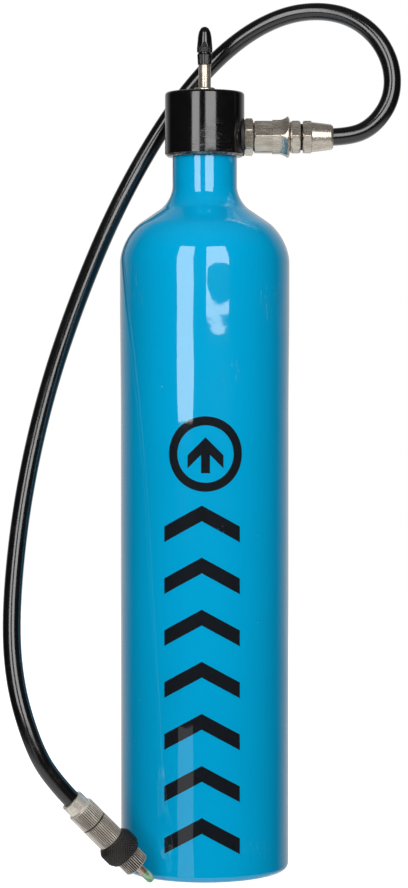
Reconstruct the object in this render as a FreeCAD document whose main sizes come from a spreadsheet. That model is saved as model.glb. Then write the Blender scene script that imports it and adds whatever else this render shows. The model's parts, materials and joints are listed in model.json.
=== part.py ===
import FreeCAD, Part
import math
import os

import Sketcher
from FreeCAD import Placement, Rotation, Vector

# Compressed-air bottle for seating tubeless bicycle tyres.  Millimetres, +Z up.
# The origin is the centre of the ring that the bottle stands on.  The outlet points
# along +X and the hose comes back past the head to a shut-off chuck at -X, -Y.

SIZES = {
    # bottle
    "foot_radius": 37.9,
    "body_radius": 38.0,
    "waist_radius": 38.4,
    "body_top": 210.0,
    "waist_bottom": 252.0,
    "shoulder_corner": 285.9,
    "neck_foot": 302.2,
    "neck_radius": 14.6,
    "neck_top": 322.2,
    "bottle_wall": 2.0,
    "inner_shoulder_corner": 284.6,
    "inner_neck_foot": 303.3,
    "neck_bore": 9.05,
    "seal_seat_radius": 11.5,
    "seal_seat_depth": 2.0,
    "ring_inner_radius": 31.0,
    "dome_rise": 8.0,
    "dome_flat": 4.0,
    "base_wall": 3.0,
    "inner_dome_edge": 30.0,
    "inner_floor": 3.9,
    "foot_round": 3.0,
    "shoulder_round": 22.5,
    "neck_round": 13.0,
    "inner_shoulder_round": 20.3,
    "inner_neck_round": 6.0,
    # head
    "head_radius": 18.0,
    "head_height": 29.3,
    "head_top_round": 1.5,
    "head_bottom_bevel": 1.2,
    "head_thread_radius": 9.0,
    "head_thread_length": 18.0,
    "head_passage": 3.5,
    "head_passage_top": 31.0,
    "inlet_passage": 2.0,
    "inlet_hole_radius": 3.05,
    "inlet_hole_depth": 10.5,
    "outlet_height": 331.2,
    "outlet_hole_radius": 4.85,
    "outlet_hole_start": 8.0,
    "outlet_passage": 3.0,
    "spot_face_radius": 9.0,
    "spot_face_start": 16.4,
    # inlet valve
    "stem_foot": 342.0,
    "stem_thread_radius": 3.0,
    "stem_radius": 2.8,
    "stem_tip_radius": 2.5,
    "stem_thread_top": 11.7,
    "stem_shoulder": 21.9,
    "stem_height": 28.2,
    "stem_bore": 1.7,
    "core_socket": 1.95,
    "core_socket_foot": 18.0,
    "lock_ring_radius": 4.8,
    "lock_ring_height": 2.0,
    "core_radius": 1.9,
    "core_bore": 0.85,
    "core_flange_radius": 2.35,
    "core_flats": 4.0,
    "pin_radius": 0.75,
    "pin_height": 18.5,
    "core_nut_radius": 2.1,
    "core_nut_height": 2.5,
    # dust cap
    "cap_foot": 364.0,
    "cap_height": 17.2,
    "cap_radius": 3.45,
    "cap_bore": 2.55,
    # outlet fittings
    "washer_radius": 8.6,
    "nipple_start": 8.2,
    "nipple_thread": 4.8,
    "nipple_bore": 2.5,
    "nipple_flats": 15.0,
    "nipple_corner": 8.66,
    "nipple_spigot": 4.7,
    "swivel_start": 22.5,
    "swivel_flats": 14.2,
    "swivel_corner": 8.2,
    "swivel_step": 8.1,
    "flange_flats": 15.0,
    "flange_corner": 8.66,
    "flange_start": 12.7,
    "flange_radius": 9.45,
    "swivel_length": 15.9,
    "swivel_socket": 4.75,
    "swivel_socket_depth": 8.7,
    "journal_bore": 4.05,
    "journal_radius": 4.0,
    "swivel_stem_start": 30.2,
    "stem_flats": 14.3,
    "stem_corner": 8.26,
    "stem_air_bore": 1.6,
    "hose_thread": 5.6,
    "hose_nut_start": 44.5,
    "hose_nut_flats": 14.2,
    "hose_nut_corner": 8.2,
    "hose_nut_length": 13.7,
    # hose
    "hose_radius": 4.0,
    "hose_bore": 2.5,
    "hose_hole": 4.05,
    # chuck
    "chuck_x": -57.9,
    "chuck_y": -52.17,
    "chuck_z": 39.44,
    "chuck_dip": 45.5,
    "chuck_heading": 16.0,
    "barb_reach": 3.0,
    "rear_nut_radius": 5.2,
    "rear_nut_flats": 9.6,
    "knurl_radius": 6.2,
    "rear_nut_length": 14.0,
    "chuck_thread": 4.95,
    "chuck_shoulder": 14.4,
    "chuck_body_end": 25.3,
    "valve_core_start": 18.1,
    "collar_start": 25.5,
    "collar_length": 9.9,
    "collar_radius": 8.3,
    "collar_bore": 4.6,
    "port_radius": 0.9,
    "port_circle": 1.9,
    "chuck_nut_start": 35.7,
    "chuck_nut_length": 6.3,
    "chuck_nut_radius": 5.85,
    "nose_radius": 3.2,
    "spigot_radius": 1.8,
    "spigot_end": 46.8,
    "tip_radius": 2.05,
    "tip_length": 5.0,
}

# The hose's route, from inside its nut to inside the chuck.  Its first leg runs along
# the outlet and its last two points lie on the chuck's axis.
HOSE_ROUTE = [
    (54.0, 0.0, 331.2),
    (66.0, 0.0, 331.2),
    (77.0, 0.5, 336.5),
    (85.0, 1.5, 348.5),
    (85.5, 3.0, 363.0),
    (79.3, 5.0, 376.6),
    (68.0, 7.5, 386.2),
    (53.5, 10.5, 390.1),
    (36.5, 14.0, 388.4),
    (18.0, 19.0, 379.5),
    (-1.0, 25.0, 363.0),
    (-20.0, 26.5, 338.0),
    (-40.5, 20.0, 301.0),
    (-57.5, 5.0, 259.0),
    (-71.5, -12.0, 215.0),
    (-81.0, -29.0, 168.0),
    (-85.0, -43.0, 122.0),
    (-83.0, -52.0, 91.0),
    (-74.5, -56.5, 63.5),
    (-65.3, -54.3, 47.3),
    (-52.5, -50.6, 33.7),
]

DOC = FreeCAD.newDocument("AirBottle")
NODES = []


def make_sheet():
    """Put the driving sizes in a spreadsheet, one row each."""
    sheet = DOC.addObject("Spreadsheet::Sheet", "Sizes")
    for row, (name, value) in enumerate(SIZES.items(), start=1):
        sheet.set(f"A{row}", name)
        sheet.set(f"B{row}", str(value))
        sheet.setAlias(f"B{row}", name)
    DOC.recompute()


def formula(text):
    """A sum such as 'neck_top - 0.5', with its words read from the sheet."""
    words = [f"Sizes.{word}" if word in SIZES else word for word in str(text).split()]
    return " ".join(words)


def number(text):
    """The value of such a sum."""
    total, sign = 0.0, 1.0
    for word in str(text).split():
        if word in ("+", "-"):
            sign = 1.0 if word == "+" else -1.0
        else:
            total += sign * (SIZES[word] if word in SIZES else float(word))
    return total


# ---- building blocks ---------------------------------------------------------------


def new_body(name):
    body = DOC.addObject("PartDesign::Body", name)
    body.Label = name
    NODES.append(body)
    return body


def new_sketch(body, name, role, offset=0.0, turn=0.0):
    """A sketch on one of the body's own planes, raised along its normal and turned."""
    sketch = body.newObject("Sketcher::SketchObject", name)
    plane = next(f for f in body.Origin.OriginFeatures if f.Role == role)
    sketch.AttachmentSupport = [(plane, "")]
    sketch.MapMode = "FlatFace"
    turned_up = Rotation(Vector(0, 0, 1), turn)
    sketch.AttachmentOffset = Placement(Vector(0, 0, number(offset)), turned_up)
    if isinstance(offset, str):
        sketch.setExpression("AttachmentOffset.Base.z", formula(offset))
    return sketch


def fix(sketch, kind, place, text):
    """Hold a point at a distance from the sketch's origin, bound to the sheet."""
    edge, end = place
    axis = -2 if kind == "DistanceX" else -1
    if number(text) == 0.0:
        sketch.addConstraint(Sketcher.Constraint("PointOnObject", edge, end, axis))
        return
    index = sketch.addConstraint(Sketcher.Constraint(kind, -1, 1, edge, end, number(text)))
    sketch.setExpression(f"Constraints[{index}]", formula(text))


def side(start, end, domed):
    """A straight side, or an arc of a dome whose centre lies on the turning axis."""
    if not domed:
        return Part.LineSegment(start, end)
    height = (end.Length**2 - start.Length**2) / (2 * (end.y - start.y))
    centre = Vector(0, height, 0)
    outward = ((start + end) * 0.5 - centre).normalize()
    return Part.Arc(start, centre + outward * (end - centre).Length, end)


def draw_outline(sketch, outline):
    """Draw a closed outline of corners (across, up).

    A corner that adds the word dome is followed by an arc, not by a straight side.
    """
    points = [Vector(number(corner[0]), number(corner[1]), 0) for corner in outline]
    ahead = points[1:] + points[:1]
    domed = [len(corner) > 2 for corner in outline]
    sides = [side(*each) for each in zip(points, ahead, domed)]
    first = sketch.addGeometry(sides, False)[0]
    # an arc is stored anticlockwise, so one that runs outward starts at its far end
    backwards = [arc and end.x > start.x for start, end, arc in zip(points, ahead, domed)]
    ends = [(2, 1) if back else (1, 2) for back in backwards]
    for index, corner in enumerate(outline):
        after = (index + 1) % len(outline)
        here, there = first + index, first + after
        join = Sketcher.Constraint("Coincident", here, ends[index][1], there, ends[after][0])
        sketch.addConstraint(join)
        fix(sketch, "DistanceX", (here, ends[index][0]), corner[0])
        fix(sketch, "DistanceY", (here, ends[index][0]), corner[1])
        if domed[index]:
            sketch.addConstraint(Sketcher.Constraint("PointOnObject", here, 3, -2))


def turned(name, outline):
    """A lathe-turned body about its own Z axis, from a half section of (radius, height)."""
    body = new_body(name)
    sketch = new_sketch(body, name + "_section", "XZ_Plane")
    draw_outline(sketch, outline)
    turn = body.newObject("PartDesign::Revolution", name + "_turn")
    turn.Profile = sketch
    turn.ReferenceAxis = (sketch, ["V_Axis"])
    turn.Angle = 360.0
    sketch.Visibility = False
    DOC.recompute()
    return body


def rim(shape, radius, height):
    """Names of the round edges of this radius at this height on a turned shape."""
    found = []
    for index, edge in enumerate(shape.Edges, start=1):
        curve = None if edge.Degenerated else edge.Curve
        if not isinstance(curve, Part.Circle) or abs(curve.Radius - number(radius)) > 0.01:
            continue
        if abs(curve.Center.z - number(height)) < 0.01 and abs(curve.Axis.z) > 0.99:
            found.append(f"Edge{index}")
    if not found:
        raise ValueError(f"no rim of radius {radius} at {height}")
    return found


def round_rim(body, radius, height, size, kind="Fillet"):
    """Round or bevel a rim.  The size is a word of the sheet or a plain number."""
    tip = body.Tip
    edges = rim(tip.Shape, radius, height)
    feature = body.newObject("PartDesign::" + kind, f"{body.Name}_{kind}")
    feature.Base = (tip, edges)
    setting = "Radius" if kind == "Fillet" else "Size"
    setattr(feature, setting, number(size))
    feature.setExpression(setting, formula(size))
    DOC.recompute()


def cut_pocket(body, sketch, depth, outward):
    """Cut a sketch into the body, along its normal if outward, and check that it cut."""
    before = body.Shape.Volume
    pocket = body.newObject("PartDesign::Pocket", sketch.Name + "_cut")
    pocket.Profile = sketch
    pocket.Type = 0
    pocket.Length = number(depth)
    pocket.setExpression("Length", formula(depth))
    pocket.Reversed = outward
    sketch.Visibility = False
    DOC.recompute()
    if body.Shape.Volume >= before - 1e-6:
        raise ValueError(f"{pocket.Name} cuts nothing")


def add_circle(sketch, radius, across="0", up="0"):
    centre = Vector(number(across), number(up), 0)
    edge = sketch.addGeometry(Part.Circle(centre, Vector(0, 0, 1), number(radius)), False)
    fix(sketch, "DistanceX", (edge, 3), across)
    fix(sketch, "DistanceY", (edge, 3), up)
    held = sketch.addConstraint(Sketcher.Constraint("Radius", edge, number(radius)))
    sketch.setExpression(f"Constraints[{held}]", formula(radius))


def mill_hexagon(body, flats, start, end, turn):
    """Mill six flats on a turned body between two heights, a corner turned from its X."""
    sketch = new_sketch(body, f"{body.Name}_hexagon", "XY_Plane", start, turn)
    corner = number(flats) / math.sqrt(3)
    add_circle(sketch, "12")
    guide = sketch.addGeometry(Part.Circle(Vector(), Vector(0, 0, 1), corner), True)
    sketch.addConstraint(Sketcher.Constraint("Coincident", guide, 3, -1, 1))
    held = sketch.addConstraint(Sketcher.Constraint("Radius", guide, corner))
    sketch.setExpression(f"Constraints[{held}]", f"Sizes.{flats} / sqrt(3)")
    spokes = [math.radians(60 * k) for k in range(6)]
    points = [Vector(corner * math.cos(a), corner * math.sin(a), 0) for a in spokes]
    lines = [Part.LineSegment(p, q) for p, q in zip(points, points[1:] + points[:1])]
    first = sketch.addGeometry(lines, False)[0]
    for k in range(6):
        here, there = first + k, first + (k + 1) % 6
        sketch.addConstraint(Sketcher.Constraint("Coincident", here, 2, there, 1))
        sketch.addConstraint(Sketcher.Constraint("PointOnObject", here, 1, guide))
        if k:
            sketch.addConstraint(Sketcher.Constraint("Equal", first, here))
    sketch.addConstraint(Sketcher.Constraint("PointOnObject", first, 1, -1))
    cut_pocket(body, sketch, f"{end} - {start}", True)


def add_box_outline(sketch, left, right, low, high):
    draw_outline(sketch, [(left, low), (right, low), (right, high), (left, high)])


def bind_place(thing, x="0", y="0", z="0"):
    """Place a sub-part by words of the sheet."""
    for letter, text in zip("xyz", (x, y, z)):
        thing.setExpression(f"Placement.Base.{letter}", formula(text))


def lay_along_outlet(thing, start):
    """Turn a sub-part's own Z to the outlet's direction and start it there."""
    thing.Placement = Placement(Vector(number(start), 0, 0), Rotation(Vector(0, 1, 0), 90))
    bind_place(thing, start, "0", "outlet_height")


def chuck_rotation():
    heading = Rotation(Vector(0, 0, 1), SIZES["chuck_heading"])
    dip = Rotation(Vector(0, 1, 0), 90 + SIZES["chuck_dip"])
    return heading.multiply(dip)


def lay_along_chuck(thing, start):
    """Turn a sub-part's own Z to the chuck's axis and start it that far from its rear."""
    rear = Vector(SIZES["chuck_x"], SIZES["chuck_y"], SIZES["chuck_z"])
    turn = chuck_rotation()
    thing.Placement = Placement(rear + turn.multVec(Vector(0, 0, number(start))), turn)


def ring(name, centre_radius, thickness):
    """An O-ring: a torus whose section is a circle of this thickness."""
    torus = DOC.addObject("Part::Torus", name)
    torus.Label = name
    torus.Radius1 = centre_radius
    torus.Radius2 = thickness / 2
    NODES.append(torus)
    return torus


# ---- bottle and head ---------------------------------------------------------------


def make_bottle():
    """The drawn aluminium bottle, with a domed base and a thick neck."""
    body = turned(
        "bottle_shell",
        [
            ("0", "dome_rise"),
            ("dome_flat", "dome_rise", "dome"),
            ("ring_inner_radius", "0"),
            ("foot_radius", "0"),
            ("body_radius", "body_top"),
            ("waist_radius", "waist_bottom"),
            ("waist_radius", "shoulder_corner"),
            ("neck_radius", "neck_foot"),
            ("neck_radius", "neck_top"),
            ("seal_seat_radius", "neck_top"),
            ("seal_seat_radius", "neck_top - seal_seat_depth"),
            ("neck_bore", "neck_top - seal_seat_depth"),
            ("neck_bore", "inner_neck_foot"),
            ("waist_radius - bottle_wall", "inner_shoulder_corner"),
            ("waist_radius - bottle_wall", "waist_bottom"),
            ("body_radius - bottle_wall", "body_top"),
            ("foot_radius - bottle_wall", "inner_floor"),
            ("inner_dome_edge", "inner_floor", "dome"),
            ("dome_flat", "dome_rise + base_wall"),
            ("0", "dome_rise + base_wall"),
        ],
    )
    round_rim(body, "foot_radius", "0", "foot_round")
    round_rim(body, "waist_radius", "shoulder_corner", "shoulder_round")
    round_rim(body, "neck_radius", "neck_foot", "neck_round")
    round_rim(body, "waist_radius - bottle_wall", "inner_shoulder_corner", "inner_shoulder_round")
    round_rim(body, "neck_bore", "inner_neck_foot", "inner_neck_round")
    round_rim(body, "foot_radius - bottle_wall", "inner_floor", "foot_round")


def make_neck_seal():
    bind_place(ring("neck_seal", 10.25, 1.9), z="neck_top - 1.0")


def make_head():
    """The black head: a puck on the neck with a thread below, an inlet and an outlet."""
    top = "head_thread_length + head_height"
    shelf = top + " - inlet_hole_depth"
    body = turned(
        "head_block",
        [
            ("head_passage", "0"),
            ("head_thread_radius", "0"),
            ("head_thread_radius", "head_thread_length"),
            ("head_radius", "head_thread_length"),
            ("head_radius", top),
            ("inlet_hole_radius", top),
            ("inlet_hole_radius", shelf),
            ("inlet_passage", shelf),
            ("inlet_passage", "head_passage_top"),
            ("head_passage", "head_passage_top"),
        ],
    )
    round_rim(body, "head_radius", top, "head_top_round")
    round_rim(body, "head_radius", "head_thread_length", "head_bottom_bevel", "Chamfer")
    middle = "outlet_height + head_thread_length - neck_top"
    bores = [
        ("outlet_passage", "0", "outlet_hole_start + 1"),
        ("outlet_hole_radius", "outlet_hole_start", "head_radius"),
        ("spot_face_radius", "spot_face_start", "head_radius"),
    ]
    for word, start, depth in bores:
        sketch = new_sketch(body, "bore_" + word, "YZ_Plane", start)
        add_circle(sketch, word, "0", middle)
        cut_pocket(body, sketch, depth, True)
    bind_place(body, z="neck_top - head_thread_length")


# ---- inlet valve -------------------------------------------------------------------


def make_inlet_seal():
    body = turned("inlet_seal", [("2.1", "0"), ("2.95", "0"), ("2.95", "1"), ("2.1", "1")])
    bind_place(body, z="stem_foot - 1.0")


def make_inlet_stem():
    """The valve's hollow stem: thread in the head, plain shank, thread for the cap."""
    body = turned(
        "inlet_stem",
        [
            ("stem_bore", "0"),
            ("stem_thread_radius", "0"),
            ("stem_thread_radius", "stem_thread_top"),
            ("stem_radius", "stem_thread_top"),
            ("stem_radius", "stem_shoulder"),
            ("stem_tip_radius", "stem_shoulder"),
            ("stem_tip_radius", "stem_height"),
            ("core_socket", "stem_height"),
            ("core_socket", "core_socket_foot"),
            ("stem_bore", "core_socket_foot"),
        ],
    )
    bind_place(body, z="stem_foot")


def make_lock_ring():
    body = turned(
        "inlet_lock_ring",
        [
            ("inlet_hole_radius", "0"),
            ("lock_ring_radius", "0"),
            ("lock_ring_radius", "lock_ring_height - 0.4"),
            ("lock_ring_radius - 0.4", "lock_ring_height"),
            ("inlet_hole_radius", "lock_ring_height"),
        ],
    )
    bind_place(body, z="neck_top + head_height")


def make_valve_core():
    """The core that screws into the stem, its pin with a rubber plug, and the pin's nut."""
    body = turned(
        "core_body",
        [
            ("core_bore", "0"),
            ("core_radius", "0"),
            ("core_radius", "10"),
            ("core_flange_radius", "10"),
            ("core_flange_radius", "11.4"),
            ("core_bore", "11.4"),
        ],
    )
    mill_hexagon(body, "core_flats", "10", "11.4", 0)
    bind_place(body, z="stem_foot + core_socket_foot + 0.2")

    pin = turned(
        "core_pin",
        [
            ("0", "0"),
            ("pin_radius", "0"),
            ("pin_radius", "pin_height - 0.6"),
            ("pin_radius + 0.25", "pin_height - 0.5"),
            ("pin_radius + 0.25", "pin_height"),
            ("0", "pin_height"),
        ],
    )
    bind_place(pin, z="stem_foot + 16.5")

    plug = turned(
        "core_seal", [("pin_radius", "0"), ("1.5", "0.4"), ("1.5", "1.4"), ("pin_radius", "1.6")]
    )
    bind_place(plug, z="stem_foot + 16.5")

    nut = turned(
        "core_nut",
        [
            ("pin_radius + 0.05", "0"),
            ("core_nut_radius - 0.3", "0"),
            ("core_nut_radius", "0.3"),
            ("core_nut_radius", "core_nut_height - 0.3"),
            ("core_nut_radius - 0.3", "core_nut_height"),
            ("pin_radius + 0.05", "core_nut_height"),
        ],
    )
    bind_place(nut, z="stem_foot + 31.4")


def make_inlet_cap():
    """The dust cap: a grip ring, a waist groove, and a tapered top."""
    body = turned(
        "inlet_cap",
        [
            ("cap_bore", "0"),
            ("cap_radius - 0.35", "0"),
            ("cap_radius - 0.1", "4.7"),
            ("cap_radius - 0.4", "5.0"),
            ("cap_radius - 0.4", "5.3"),
            ("cap_radius", "5.6"),
            ("cap_radius", "8.2"),
            ("cap_radius - 0.45", "12.6"),
            ("cap_radius - 0.95", "14.9"),
            ("cap_radius - 1.9", "16.6"),
            ("cap_radius - 2.7", "cap_height"),
            ("0", "cap_height"),
            ("0", "14.2"),
            ("1.2", "14.2"),
            ("cap_bore", "12.4"),
        ],
    )
    bind_place(body, z="cap_foot")


# ---- outlet and swivel -------------------------------------------------------------


def make_outlet_washer():
    body = turned(
        "outlet_washer",
        [("4.9", "0"), ("washer_radius", "0"), ("washer_radius", "1.6"), ("4.9", "1.6")],
    )
    lay_along_outlet(body, "spot_face_start")


def make_outlet_nipple():
    """Screws into the head: thread, hexagon, and a threaded spigot for the swivel."""
    body = turned(
        "outlet_nipple",
        [
            ("nipple_bore", "0"),
            ("nipple_thread", "0"),
            ("nipple_thread", "9.8"),
            ("nipple_corner - 1.1", "9.8"),
            ("nipple_corner", "10.4"),
            ("nipple_corner", "13.2"),
            ("nipple_corner - 1.2", "13.8"),
            ("nipple_spigot", "13.8"),
            ("nipple_spigot", "21.6"),
            ("nipple_bore", "21.6"),
        ],
    )
    mill_hexagon(body, "nipple_flats", "9.8", "13.8", 10)
    lay_along_outlet(body, "nipple_start")


def make_swivel_body():
    """The fixed half of the swivel: two hexagons running into a flared collar."""
    body = turned(
        "swivel_body",
        [
            ("swivel_socket", "0"),
            ("swivel_corner - 0.8", "0"),
            ("swivel_corner", "0.5"),
            ("swivel_corner", "swivel_step"),
            ("flange_corner", "swivel_step"),
            ("flange_corner", "flange_start"),
            ("flange_radius", "swivel_length - 0.9"),
            ("flange_radius", "swivel_length - 0.5"),
            ("flange_radius - 1.2", "swivel_length"),
            ("journal_bore", "swivel_length"),
            ("journal_bore", "swivel_socket_depth"),
            ("swivel_socket", "swivel_socket_depth"),
        ],
    )
    mill_hexagon(body, "swivel_flats", "0", "swivel_step", 90)
    mill_hexagon(body, "flange_flats", "swivel_step", "flange_start", 90)
    lay_along_outlet(body, "swivel_start")


def make_swivel_stem():
    """The turning half: a journal with two grooves, a hexagon, a thread and a barb."""
    body = turned(
        "swivel_stem",
        [
            ("stem_air_bore", "0"),
            ("journal_radius - 0.1", "0"),
            ("journal_radius - 0.1", "0.2"),
            ("journal_radius - 0.6", "0.2"),
            ("journal_radius - 0.6", "0.9"),
            ("journal_radius", "1.0"),
            ("journal_radius", "3.4"),
            ("journal_radius - 0.9", "3.4"),
            ("journal_radius - 0.9", "4.6"),
            ("journal_radius", "4.6"),
            ("journal_radius", "8.5"),
            ("stem_flats - 7.2", "8.5"),
            ("stem_flats - 7.2", "9.2"),
            ("stem_corner", "9.5"),
            ("stem_corner", "12.2"),
            ("stem_corner - 1.3", "13.2"),
            ("hose_thread", "13.2"),
            ("hose_thread", "18.8"),
            ("hose_bore", "18.8"),
            ("hose_bore", "26.4"),
            ("hose_bore - 0.3", "27.2"),
            ("stem_air_bore", "27.2"),
        ],
    )
    mill_hexagon(body, "stem_flats", "9.2", "13.2", 90)
    lay_along_outlet(body, "swivel_stem_start")


def make_swivel_hardware():
    """The snap ring that keeps the journal in, and its O-ring."""
    clip = turned("swivel_clip", [("3.45", "0"), ("4.6", "0"), ("4.6", "0.6"), ("3.45", "0.6")])
    lay_along_outlet(clip, "swivel_stem_start + 0.25")
    seal = ring("swivel_seal", 3.53, 0.84)
    lay_along_outlet(seal, "swivel_stem_start + 4.0")


def make_hose_nut():
    """Clamps the hose on the swivel's barb: a short hexagon and a long taper."""
    body = turned(
        "hose_nut",
        [
            ("hose_thread + 0.05", "0"),
            ("hose_nut_corner - 0.9", "0"),
            ("hose_nut_corner", "0.6"),
            ("hose_nut_corner", "3.5"),
            ("6.85", "3.9"),
            ("5.75", "hose_nut_length - 1.0"),
            ("5.0", "hose_nut_length"),
            ("hose_hole", "hose_nut_length"),
            ("hose_hole", "6.6"),
            ("hose_thread + 0.05", "4.8"),
        ],
    )
    mill_hexagon(body, "hose_nut_flats", "0", "3.9", 90)
    lay_along_outlet(body, "hose_nut_start")


# ---- hose --------------------------------------------------------------------------


def tube_path(route):
    """Straight runs joined by tangent arcs, as large as the runs allow, and the radii."""
    points = [Vector(*p) for p in route]
    edges, radii = [], []
    start = points[0]
    for before, corner, after in zip(points, points[1:], points[2:]):
        back, ahead = before - corner, after - corner
        half_turn = (math.pi - back.getAngle(ahead)) / 2
        trim = 0.45 * min(back.Length, ahead.Length)
        radius = trim / math.tan(half_turn)
        back.normalize()
        ahead.normalize()
        first, last = corner + back * trim, corner + ahead * trim
        inward = (back + ahead).normalize()
        middle = corner + inward * (radius / math.cos(half_turn) - radius)
        edges.append(Part.LineSegment(start, first).toShape())
        edges.append(Part.Arc(first, middle, last).toShape())
        radii.append(radius)
        start = last
    edges.append(Part.LineSegment(start, points[-1]).toShape())
    return Part.Wire(edges), radii


def make_hose():
    """The rubber hose, a tube with an open bore that the barbs fill at its ends."""
    path, radii = tube_path(HOSE_ROUTE)
    start, ahead = Vector(*HOSE_ROUTE[0]), Vector(*HOSE_ROUTE[1])
    solids = []
    for word in ("hose_radius", "hose_bore"):
        circle = Part.Circle(start, ahead - start, SIZES[word])
        section = Part.Wire([circle.toShape()])
        solids.append(path.makePipeShell([section], True, True))
    hose = DOC.addObject("Part::Feature", "air_hose")
    hose.Label = "air_hose"
    hose.Shape = solids[0].cut(solids[1])
    NODES.append(hose)
    area = math.pi * (SIZES["hose_radius"] ** 2 - SIZES["hose_bore"] ** 2)
    share = hose.Shape.Volume / (area * path.Length)
    if abs(share - 1) > 0.01:
        raise ValueError(f"the hose's volume is {share:.3f} of its section times its length")
    print(f"hose length {path.Length:.1f}, volume share {share:.4f}")
    print("hose radii", [round(r, 1) for r in radii])


# ---- chuck -------------------------------------------------------------------------


def make_rear_nut():
    """Clamps the hose in the chuck: a collar with spanner flats, then a knurled grip."""
    body = turned(
        "chuck_rear_nut",
        [
            ("hose_hole", "0"),
            ("rear_nut_radius - 0.3", "0"),
            ("rear_nut_radius", "0.3"),
            ("rear_nut_radius", "5.2"),
            ("knurl_radius - 0.2", "5.6"),
            ("knurl_radius", "6.0"),
            ("knurl_radius", "rear_nut_length - 0.3"),
            ("knurl_radius - 0.3", "rear_nut_length"),
            ("chuck_thread + 0.05", "rear_nut_length"),
            ("chuck_thread + 0.05", "9.2"),
            ("hose_hole", "8.4"),
        ],
    )
    sketch = new_sketch(body, "rear_nut_flats_sketch", "XY_Plane", "1.0")
    edge = SIZES["rear_nut_flats"] / 2
    add_box_outline(sketch, "-7", "7", str(edge), "8")
    add_box_outline(sketch, "-7", "7", "-8", str(-edge))
    cut_pocket(body, sketch, "3.9", True)
    lay_along_chuck(body, "0")


def make_chuck_body():
    """The chuck's middle: a barb, a thread, a knurled sleeve, and a bore for the valve."""
    reach = " + barb_reach"
    body = turned(
        "chuck_body",
        [
            ("stem_air_bore", "0"),
            ("hose_bore - 0.3", "0"),
            ("hose_bore", "0.8"),
            ("hose_bore", "9.4" + reach),
            ("chuck_thread", "9.4" + reach),
            ("chuck_thread", "chuck_shoulder" + reach),
            ("knurl_radius - 0.3", "chuck_shoulder" + reach),
            ("knurl_radius", "chuck_shoulder + 0.3" + reach),
            ("knurl_radius", "chuck_body_end - 0.3" + reach),
            ("knurl_radius - 0.3", "chuck_body_end" + reach),
            ("journal_bore", "chuck_body_end" + reach),
            ("journal_bore", "24.3" + reach),
            ("4.8", "24.3" + reach),
            ("4.8", "23.5" + reach),
            ("journal_bore", "23.5" + reach),
            ("journal_bore", "16.8" + reach),
            ("stem_air_bore", "16.8" + reach),
        ],
    )
    lay_along_chuck(body, "- barb_reach")


def add_ports(body, start, depth, turn):
    """Bore two opposite ports along the chuck, off its axis."""
    sketch = new_sketch(body, body.Name + "_ports", "XY_Plane", start, turn)
    add_circle(sketch, "port_radius", "port_circle")
    add_circle(sketch, "port_radius", "- port_circle")
    cut_pocket(body, sketch, depth, True)


def make_port_seat():
    """The fixed seat disc that the turning valve core shuts against."""
    body = turned("port_seat", [("0", "0"), ("3.95", "0"), ("3.95", "1.2"), ("0", "1.2")])
    add_ports(body, "0", "1.2", 0)
    lay_along_chuck(body, "16.8")


def make_shutoff_core():
    """The turning core: ports at its rear, a seat for the collar, a nose for the nut."""
    reach = " - valve_core_start"
    body = turned(
        "valve_core",
        [
            ("0", "0"),
            ("journal_radius", "0"),
            ("journal_radius", "19.8" + reach),
            ("journal_radius - 0.9", "19.8" + reach),
            ("journal_radius - 0.9", "21.0" + reach),
            ("journal_radius", "21.0" + reach),
            ("journal_radius", "23.5" + reach),
            ("journal_radius - 0.5", "23.5" + reach),
            ("journal_radius - 0.5", "24.3" + reach),
            ("journal_radius", "24.3" + reach),
            ("journal_radius", "collar_start" + reach),
            ("collar_bore", "collar_start" + reach),
            ("collar_bore", "collar_start + collar_length" + reach),
            ("nose_radius", "collar_start + collar_length" + reach),
            ("nose_radius", "41.0" + reach),
            ("1.95", "41.0" + reach),
            ("1.95", "35.0" + reach),
            ("3.0", "33.0" + reach),
            ("3.0", "22.0" + reach),
            ("0", "22.0" + reach),
        ],
    )
    add_ports(body, "0", "22.0" + reach, 90)
    lay_along_chuck(body, "valve_core_start")

    clip = turned("valve_core_clip", [("3.55", "0"), ("4.7", "0"), ("4.7", "0.6"), ("3.55", "0.6")])
    lay_along_chuck(clip, "23.6")
    lay_along_chuck(ring("valve_core_seal", 3.53, 0.84), "20.4")


def make_collar():
    """The black shut-off ring, barrel shaped, pressed on the core."""
    body = turned(
        "valve_collar",
        [
            ("collar_bore", "0"),
            ("collar_radius - 1.7", "0"),
            ("collar_radius", "2.2"),
            ("collar_radius", "collar_length - 2.4"),
            ("collar_radius - 1.5", "collar_length"),
            ("collar_bore", "collar_length"),
        ],
    )
    round_rim(body, "collar_radius", "2.2", "2.0")
    round_rim(body, "collar_radius", "collar_length - 2.4", "2.0")
    lay_along_chuck(body, "collar_start")


def make_chuck_nut():
    """The knurled nut on the nose, which screws on the tyre's valve."""
    body = turned(
        "chuck_nut",
        [
            ("nose_radius + 0.05", "0"),
            ("chuck_nut_radius - 0.3", "0"),
            ("chuck_nut_radius", "0.3"),
            ("chuck_nut_radius", "chuck_nut_length - 0.4"),
            ("chuck_nut_radius - 0.4", "chuck_nut_length"),
            ("4.0", "chuck_nut_length"),
            ("4.0", "5.2"),
            ("nose_radius + 0.05", "5.2"),
        ],
    )
    lay_along_chuck(body, "chuck_nut_start")


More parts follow.
